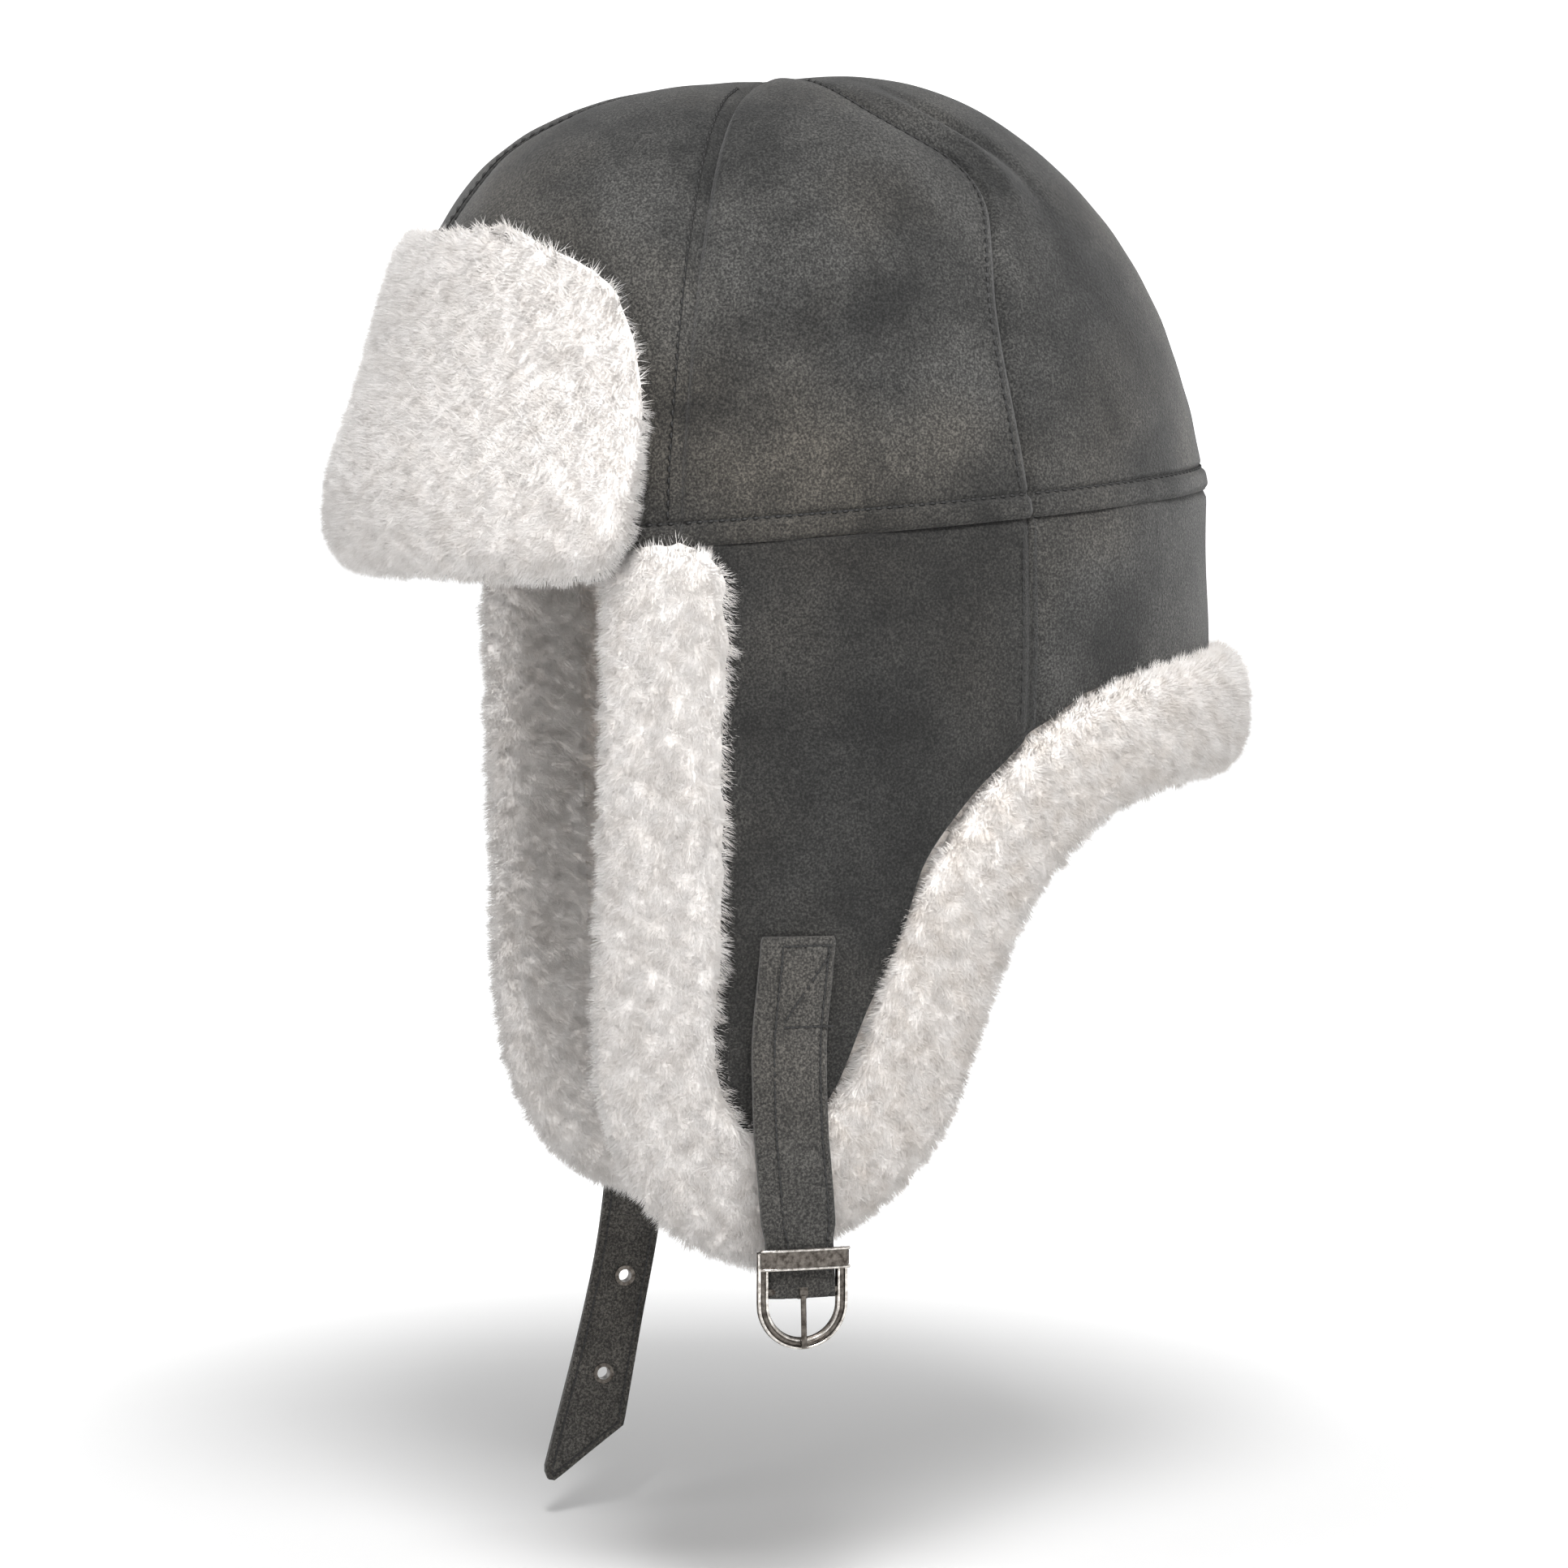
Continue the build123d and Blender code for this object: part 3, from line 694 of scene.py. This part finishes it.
# ---- lining ------------------------------------------------------------------------------
def lining():
    """Wool inside the crown, the band and the ear flaps."""
    theta, s = np.meshgrid(np.linspace(0, 2 * math.pi, 121), np.linspace(0, math.radians(88), 50))
    gores = [f"lining_{place}_{side}" for place in ("front", "side", "back") for side in ("left", "right")]
    add_lined("crown_lining", crown(theta, s, -4.2), crown(theta, s, WOOL_INNER), "hat", gores, None, 0.7)
    theta, v = np.meshgrid(np.linspace(math.radians(18), math.radians(162), 120), np.linspace(0, 1, 24))
    y = A * RATIO * np.sin(theta)
    low = np.interp(y, [38, 57, 75, 120], [-70, -62, -58, -56])
    z = seam_z(theta) + (low - seam_z(theta)) * v
    outer, inner = wall(theta, z, WOOL_OUTER), wall(theta, z, WOOL_INNER)
    add_lined("nape_lining", outer, inner, "hat", ["nape_wool"], None)
    edge = curve_points(EAR_REAR_EDGE, 200)
    zs = np.linspace(2, -178, 60)
    rear = np.where(zs > FOLD_Z, 40.0, np.interp(-zs, -edge[:, 1], edge[:, 0]) + 6)
    front = np.full(60, -56.0) + 20 * np.clip((-zs - 150) / 28, 0, 1) ** 2
    y = front[:, None] + (rear - front)[:, None] * np.linspace(0, 1, 40)
    z = np.broadcast_to(zs[:, None], y.shape)
    outer, inner = wall(theta_of_y(y), z, WOOL_OUTER), wall(theta_of_y(y), z, WOOL_INNER)
    for side in ("left", "right"):
        add_lined(f"{side}_ear_lining", *on_side(side, outer, inner), "hat",
                  [f"{side}_temple_wool", f"{side}_flap_wool"], fold_blend(side))


def add_lined(name, outer, inner, body, nodes, blend, density=1.9):
    """A wool sheet with pile on its inner face."""
    backing = sheet(name + "_hide", outer[::-1], (inner + (outer - inner) * 0.15)[::-1])
    finish_piece(backing, WOOL_MAT, body, nodes, blend)
    pieces = fur(name, inner, density, 5.0, (0, 0, -0.4), width=0.5, inward=True)
    for piece in pieces:
        finish_piece(piece, WOOL_MAT, body, (), blend)


# ---- stitches ----------------------------------------------------------------------------
STITCH_SECTIONS = ((-1, 0.25), (-0.6, 0.85), (0, 1.0), (0.6, 0.85), (1, 0.25))
STITCH_SIDES = 6
SHADE_RIBBON = 0.30                        # half the width of the dark ribbon under the stitches, painted shade for the shadowed channel


def spread(values, run, at):
    """Values along a line, read off at some distances along it."""
    return np.stack([np.interp(at, run, values[:, k]) for k in range(3)], -1)


def capsule(middle, ahead, out, side, half, radius):
    """Points of one stitch, which rises from the leather and dips back in."""
    points = []
    for step, share in STITCH_SECTIONS:
        centre = middle + ahead * step * half + out * (0.4 - 0.45 * step ** 2) * radius * 2
        for a in np.radians(np.arange(0, 360, 360 // STITCH_SIDES)):
            points.append(centre + (side * math.cos(a) + out * math.sin(a)) * radius * share)
    return points


def stitches(name, lines, pitch, body, blend=None, reach=0.66, radius=0.40):
    """Rows of short thread stitches over a dark ribbon of painted shade, each line a list of points with its
    normals.
    """
    points, faces = [], []
    last_ring = (len(STITCH_SECTIONS) - 1) * STITCH_SIDES
    for line, normal in lines:
        run = length_along(line)
        at = np.arange(pitch / 2, run[-1], pitch)
        centre = spread(line, run, at)
        n = unit(spread(normal, run, at))
        d = unit(spread(line, run, at + 0.1) - centre)
        flat = unit(np.cross(np.gradient(line, axis=0), normal))
        base, count = len(points), len(line)
        # painted shade: a flat dark ribbon along the row, standing in for the shadow in the stitch channel
        for width in (-SHADE_RIBBON, SHADE_RIBBON):
            points += list(line + normal * 0.12 + flat * width)
        faces += [[base + k, base + k + 1, base + count + k + 1, base + count + k] for k in range(count - 1)]
        for middle, ahead, out, side in zip(centre, d, n, np.cross(d, n)):
            base = len(points)
            points += capsule(middle, ahead, out, side, pitch * reach / 2, radius)
            faces += grid_faces(len(STITCH_SECTIONS), STITCH_SIDES, wrap=True, first=base)
            faces.append([base + k for k in range(STITCH_SIDES)][::-1])
            faces.append([base + last_ring + k for k in range(STITCH_SIDES)])
    piece = new_object(name, points, faces)
    return finish_piece(piece, THREAD_AND_SHADE_MAT, body, (), blend)


def both_sides(line, normal):
    """A row of stitches and its mirror image."""
    return [(line, normal), (mirrored(line), mirrored(normal))]


def facing(line, way):
    """A row of stitches on a face that looks along X."""
    return (line, np.tile([way, 0, 0], (len(line), 1)))


def crown_stitches():
    """Top-stitching along every crown seam, above the band seam and down each side seam."""
    lines = []
    s = np.linspace(0.06, 1.40, 220)
    for index, end in ((0, 1), (1, 1), (0, 0), (2, 1)):
        first, last = seam_angle(index, s), seam_angle(index + 1, s)
        u = 3.0 / (105 * np.maximum(np.cos(s) ** POWER, 0.05) * (last - first))
        u = 1 - u if end else u
        middle = 0.5 * (first + last)
        normal = unit(crown(middle, s, 3.0) - crown(middle, s, 0.0))
        lines += both_sides(crown_face(index, u, s), normal)
    for index in range(3):
        u = np.linspace(0.01, 0.99, 160)
        line = crown_face(index, u, np.full_like(u, STITCH_CLIMB / CLIMB))
        lines += both_sides(line, unit(line * [1, 0.67, 0]))
    stitches("crown_stitching", lines, 3.1, "hat", radius=0.46)
    z = np.linspace(-3, -54, 60)
    line = wall(theta_of_y(np.full_like(z, SIDE_SEAM_Y - 3.3)), z, 0.0)
    lines = both_sides(line, unit(line * [1, 0.67, 0]))
    stitches("side_seam_stitching", lines, 3.1, "hat")


# ---- straps and buckle -------------------------------------------------------------------
STRAP_Y = -28.2
STRAP_PITCH, STRAP_THREAD = 2.6, 0.36


def swing_blend(side):
    """Where a strap turns out of its stitched end."""
    return (f"{side}_ear_flap", f"{side}_chin_strap", metres(0, 0, -135), metres(0, 0, -147))


def buckle_strap():
    """One strap from its stitched end to the fold round the buckle's bar."""
    x_at = [(88.2, -112.6), (88.7, -125), (88.9, -137), (90.2, -147), (91.0, -158), (91.2, -180),
            (91.0, -200), (90.9, -213.4)]
    line = curve_points(x_at, 110)
    bow = np.interp(-line[:, 1], [112, 125, 145, 165, 190, 213], [0, -1.4, -3.6, -3.4, -1.2, 0])
    across_at = STRAP_Y + np.convolve(np.pad(bow, 8, "edge"), np.ones(17) / 17, "valid")
    path = col(line[:, 0], across_at, line[:, 1])
    halves = np.interp(-line[:, 1], [112, 114, 193, 197, 213.4], [9.8, 10.5, 10.5, 9.6, 9.6])
    thick = np.interp(-line[:, 1], [112, 114, 200, 210, 213.4], [4.6, 5.4, 5.0, 4.4, 3.2])
    rings = strap_solid(path, halves, thick)
    rings[..., 0] += 0.12 * lumps(rings, 14, 51)
    piece = tube("left_strap_leather", rings)
    blend = swing_blend("left")
    finish_piece(piece, STRAP_MAT, "hat", ["left_strap", "left_strap_anchor"], blend)
    lines = []
    for side, margin in ((-1, 5.6), (1, 2.2)):
        across = side * (halves - margin)
        edge = col(line[:, 0] + strap_face(across / halves, thick), across_at + across, line[:, 1])[3:-8]
        lines.append(facing(edge, 1.0))
    box = [((-5.4, -115), (8.8, -115)), ((-5.4, -137.5), (8.8, -137.5)), ((-5.2, -136), (8.4, -117))]
    for (y0, z0), (y1, z1) in box:
        zz = np.linspace(z0, z1, 12)
        xx = np.interp(-zz, -line[:, 1], line[:, 0] + thick / 2)
        lines.append(facing(col(xx, STRAP_Y + np.linspace(y0, y1, 12), zz), 1.0))
    stitches("left_strap_stitching", lines, STRAP_PITCH, "hat", blend, radius=STRAP_THREAD)


def strap_face(across, thick):
    """Height of a strap's face over its middle: it rolls over towards the front edge."""
    roll_off = np.clip((-across - 0.48) / 0.52, 0, 1) ** 2
    groove = 0.5 * bell(across + 0.49, 0.045) + 0.35 * bell(across - 0.8, 0.05)
    return thick * (0.5 - 0.42 * roll_off) - groove


def strap_solid(path, halves, thick):
    """Rings of a strap with rounded edges and a stitched channel along each."""
    c, s = oval(120, 0.5, 0.3, start=0.01)
    along = unit(np.gradient(path, axis=0))
    out = unit(np.cross(along, [0, 1.0, 0]))
    out = np.where(out[:, :1] < 0, -out, out)
    wide = np.array([0, 1.0, 0])
    height = np.where(s > 0, strap_face(c, thick[:, None]) * s, thick[:, None] / 2 * s)
    return path[:, None] + wide * (halves[:, None] * c)[..., None] + out[:, None] * height[..., None]


EYELETS = [(-33.5, -239.0), (-40.5, -269.5)]
EYELET_HOLE = 2.5
EYELET_STRAP_X = -90.4


def punched_mesh(rings):
    """Flat strip of leather across X, from its outline and its holes in Y and Z."""
    curve = bpy.data.curves.new("outline", "CURVE")
    curve.dimensions, curve.fill_mode = "2D", "BOTH"
    for ring in rings:
        spline = curve.splines.new("POLY")
        spline.points.add(len(ring) - 1)
        spline.points.foreach_set("co", np.c_[ring * MM, np.zeros(len(ring)), np.ones(len(ring))].ravel())
        spline.use_cyclic_u = True
    curve.extrude, curve.bevel_depth, curve.bevel_resolution, curve.offset = 0.0010, 0.0005, 3, -0.0005
    drawn = bpy.data.objects.new("outline", curve)
    bpy.context.scene.collection.objects.link(drawn)
    mesh = bpy.data.meshes.new_from_object(drawn.evaluated_get(bpy.context.evaluated_depsgraph_get()))
    bpy.data.objects.remove(drawn)
    upright = Matrix(((0, 0, 1, 0), (1, 0, 0, 0), (0, 1, 0, 0), (0, 0, 0, 1)))
    mesh.transform(Matrix.Translation((EYELET_STRAP_X * MM, 0, 0)) @ upright)
    mesh.polygons.foreach_set("use_smooth", [False] * len(mesh.polygons))
    return mesh


def eyelet_strap():
    """Strap with two eyelets and a slanted point, sewn to the right ear flap."""
    front = curve_points([(-38.2, -144), (-38.2, -190), (-41, -222), (-47, -252), (-59, -298)], 50)
    rear = curve_points([(-18.2, -144), (-18.2, -190), (-22, -222), (-28, -254), (-33.4, -284)], 50)
    tip = curve_points([(-34, -286.5), (-45, -294.5), (-56, -302.6), (-58, -302.4), (-59, -300)], 14)
    rings = [np.concatenate([rear, tip, front[::-1]])]
    turn = np.linspace(0, 2 * math.pi, 28, endpoint=False)
    hole = EYELET_HOLE * np.stack([np.cos(turn), np.sin(turn)], -1)
    rings += [hole + centre for centre in EYELETS]
    strap = bpy.data.objects.new("right_strap_leather", punched_mesh(rings))
    bpy.context.scene.collection.objects.link(strap)
    finish_piece(strap, STRAP_MAT, "right_chin_strap", ["right_strap"])
    upper = curve_points([(-86.6, -112.8), (-87.3, -125), (-87.8, -137), (-89.6, -147)], 30)
    path = col(upper[:, 0], np.full(30, STRAP_Y), upper[:, 1])
    anchor = tube("right_strap_end", strap_solid(path, np.full(30, 10.0), np.full(30, 3.0)))
    finish_piece(anchor, STRAP_MAT, "hat", ["right_strap_anchor"], swing_blend("right"))
    lines = []
    for way in (-1.0, 1.0):
        for edge in (inset(front, 2.2), inset(rear, -2.2), inset(tip, -2.0)):
            line = col(np.full(len(edge), EYELET_STRAP_X + way * 1.45), edge[:, 0], edge[:, 1])
            lines.append(facing(line, way))
    stitches("right_strap_stitching", lines, STRAP_PITCH, "right_chin_strap", radius=STRAP_THREAD)


def inset(line, by):
    """Flat line moved sideways."""
    along = unit(np.gradient(line, axis=0))
    return line + np.stack([-along[:, 1], along[:, 0]], -1) * by


def give(node, material):
    """Put a finish on a carried-over CAD node."""
    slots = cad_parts[node].data.materials
    slots.clear()
    slots.append(material)


def wire(name, line, radius):
    """Bright ridge along the buckle, a painted highlight."""
    along = unit(np.gradient(line, axis=0))
    side = unit(np.cross(along, [1.0, 0, 0]))
    other = np.cross(along, side)
    turn = np.linspace(0, 2 * math.pi, 12, endpoint=False)[:, None]
    rings = line[:, None] + radius * (side[:, None] * np.cos(turn) + other[:, None] * np.sin(turn))
    return finish_piece(tube(name, rings), HIGHLIGHT_MAT, "buckle")


BUCKLE_X = 90.9
RIDGE_X = 92.1
PLATE_X, PLATE_Z, PLATE_HALF = 94.5, -202.0, 2.9


def buckle_rim(centre_y, half, top, bottom):
    """Ribbed D-shaped frame, with a bright ridge of painted highlight along each edge."""
    r = half - 1.4
    bend = bottom + half
    front, rear = centre_y - r, centre_y + r
    path = [(front, top - 1.2), (front, (top + bend) / 2), (front, bend)]
    for a in np.radians(np.arange(195, 346, 15)):
        path.append((centre_y + r * math.cos(a), bend + r * math.sin(a)))
    path += [(rear, bend), (rear, (top + bend) / 2), (rear, top - 1.2)]
    line = curve_points(path, 110)
    along = unit(np.gradient(line, axis=0))
    across = np.stack([-along[:, 1], along[:, 0]], -1)
    phi = np.linspace(0, 2 * math.pi, 24, endpoint=False)
    swell = 1 + 0.14 * np.cos(4 * phi)
    c, s = np.cos(phi) * swell * 1.5, np.sin(phi) * swell * 1.35
    rings = np.empty((len(line), len(phi), 3))
    rings[..., 0] = BUCKLE_X + s
    rings[..., 1:] = line[:, None] + across[:, None] * c[None, :, None]
    finish_piece(tube("buckle_rim", rings), METAL_MAT, "buckle", ["buckle_frame"])
    for label, shift in (("outer", -1.15), ("inner", 0.95)):
        ridge = line + across * shift
        wire(f"buckle_ridge_{label}", col(RIDGE_X, ridge[:, 0], ridge[:, 1]), 0.42)


def buckle_plate(centre_y, half):
    """Bar plate over the strap's end, with a bright ridge of painted highlight along its top and foot."""
    y = np.linspace(-half, half, 40)
    c, s = oval(32, 0.35, 0.6)
    round_end = np.clip((half - np.abs(y)) / 1.2, 0, 1) ** 0.5 * 0.3 + 0.7
    sweep = 0.9 * (np.abs(y) / half) ** 6
    bulge = s * (0.75 + 0.5 * np.abs(c) ** 4) * round_end[:, None]
    rings = col(PLATE_X + bulge - sweep[:, None], centre_y + y[:, None] + 0 * c,
                PLATE_Z + c * PLATE_HALF * round_end[:, None])
    finish_piece(tube("buckle_plate", rings), METAL_MAT, "buckle")
    ridge = PLATE_HALF - 0.3
    for label, z in (("top", PLATE_Z + ridge), ("foot", PLATE_Z - ridge)):
        wire(f"buckle_plate_{label}", col(PLATE_X + 0.85 - sweep, centre_y + y, z), 0.45)


def buckle_legs(centre_y, half):
    """Short legs that join the plate to the frame."""
    legs = curve_points([(90.5, PLATE_Z), (92.5, PLATE_Z), (94.2, PLATE_Z)], 8)
    ring = np.radians(np.arange(0, 360, 30))
    for label, side in (("front", -1), ("rear", 1)):
        leg = col(legs[:, :1] + 0 * ring, centre_y + side * (half - 1.2) + 0.9 * np.cos(ring),
                  legs[:, 1:] + 2.4 * np.sin(ring))
        finish_piece(tube(f"buckle_leg_{label}", leg), METAL_MAT, "buckle")


def buckle():
    """Frame, plate and legs; the bar, prong and eyelets keep their CAD shape."""
    low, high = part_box("buckle_frame")
    centre_y = (low.y + high.y) / 2 / MM
    half = (high.y - low.y) / 2 / MM
    buckle_rim(centre_y, half, high.z / MM, low.z / MM)
    buckle_plate(centre_y, half)
    buckle_legs(centre_y, half)
    for node in ("buckle_bar", "buckle_prong", "strap_eyelets"):
        give(node, METAL_MAT)


# ---- studio ------------------------------------------------------------------------------
def look():
    """Plain display transform, so that the pale studio stays pale."""
    bpy.context.scene.view_settings.view_transform = "Standard"


# name, degrees round from the front, height, distance, size, watts
LIGHTS = [
    ("softbox", 80, 1.45, 1.3, 0.7, 48),
    ("key", 20, 0.8, 1.7, 1.0, 6),
    ("rim", 200, 0.9, 1.8, 1.2, 5),
    ("fill", 130, 0.4, 1.9, 1.6, 4),
]
LIGHT_TARGET = Vector((0, 0, -0.04))
FLOOR_PROFILE = [(0, 0), (12000, 0), (17000, 900), (20000, 6000)]
FLOOR_DROP = 12.0
FLOOR_GLOW = (("From Min", 0.30), ("From Max", 0.85), ("To Min", 0.05), ("To Max", 0.9))


def floor_material():
    """Pale matt floor that glows more, the further it is from the hat."""
    material, tree, shader = node_material("floor")
    shader.inputs["Base Color"].default_value = (0.76, 0.76, 0.76, 1)
    shader.inputs["Roughness"].default_value = 0.9
    shader.inputs["Specular IOR Level"].default_value = 0.1
    shader.inputs["Emission Color"].default_value = (1, 1, 1, 1)
    where = tree.nodes.new("ShaderNodeTexCoord")
    far = tree.nodes.new("ShaderNodeVectorMath")
    far.operation = "LENGTH"
    lift = tree.nodes.new("ShaderNodeMapRange")
    lift.interpolation_type = "SMOOTHSTEP"
    for socket, value in FLOOR_GLOW:
        lift.inputs[socket].default_value = value
    tree.links.new(where.outputs["Object"], far.inputs[0])
    tree.links.new(far.outputs["Value"], lift.inputs["Value"])
    tree.links.new(lift.outputs["Result"], shader.inputs["Emission Strength"])
    return material


def floor():
    """Pale floor that rises far away on every side."""
    low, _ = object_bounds()
    rows, turns = 60, 96
    line = np.concatenate([[(0.0, 0.0)], curve_points(FLOOR_PROFILE, rows)[1:]])
    turn = np.linspace(0, 2 * math.pi, turns, endpoint=False)
    reach, rise = line[:, :1], line[:, 1:]
    points = col(reach * np.cos(turn), reach * np.sin(turn), rise + low[2] / MM - FLOOR_DROP)
    made = new_object("floor", points.reshape(-1, 3), grid_faces(rows, turns, wrap=True))
    made.data.materials.append(floor_material())
    made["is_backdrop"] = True


def lights():
    """White surroundings and soft lights, all aimed at the middle of the hat."""
    world = bpy.data.worlds.new("studio")
    world.use_nodes = True
    world.node_tree.nodes["Background"].inputs["Color"].default_value = (1, 1, 1, 1)
    world.node_tree.nodes["Background"].inputs["Strength"].default_value = 0.24
    bpy.context.scene.world = world
    for name, azimuth_deg, height, distance, size, watts in LIGHTS:
        a = math.radians(azimuth_deg)
        place = Vector((math.sin(a) * distance, -math.cos(a) * distance, height))
        light = bpy.data.lights.new(name, "AREA")
        light.energy = watts
        light.size = size
        lamp = bpy.data.objects.new(name, light)
        lamp.location = place
        lamp.rotation_euler = (LIGHT_TARGET - place).to_track_quat("-Z", "Y").to_euler()
        bpy.context.scene.collection.objects.link(lamp)


FRAME_WIDTH = 0.460                  # width of the view at the hat, in metres


def camera():
    """Seen a little forward of the wearer's left side and slightly from above."""
    azimuth, elevation, distance = math.radians(74), math.radians(5), 1.5
    right = Vector((math.cos(azimuth), math.sin(azimuth), 0))
    ahead = Vector((-math.sin(azimuth) * math.cos(elevation), math.cos(azimuth) * math.cos(elevation),
                    -math.sin(elevation)))
    up = right.cross(ahead)
    data = bpy.data.cameras.new("camera")
    data.sensor_width = 36
    data.lens = data.sensor_width * distance / FRAME_WIDTH
    eye = bpy.data.objects.new("camera", data)
    turn = Matrix((right, up, -ahead)).transposed()
    where = right * -0.007 + up * -0.078 - ahead * distance
    eye.matrix_world = Matrix.Translation(where) @ turn.to_4x4()
    bpy.context.scene.collection.objects.link(eye)
    bpy.context.scene.camera = eye


crown_panels()
ear_leather()
nape_leather()
fur_rims()
front_flap()
forehead()
lining()
crown_stitches()
buckle_strap()
eyelet_strap()
buckle()
camera()
look()
floor()
lights()
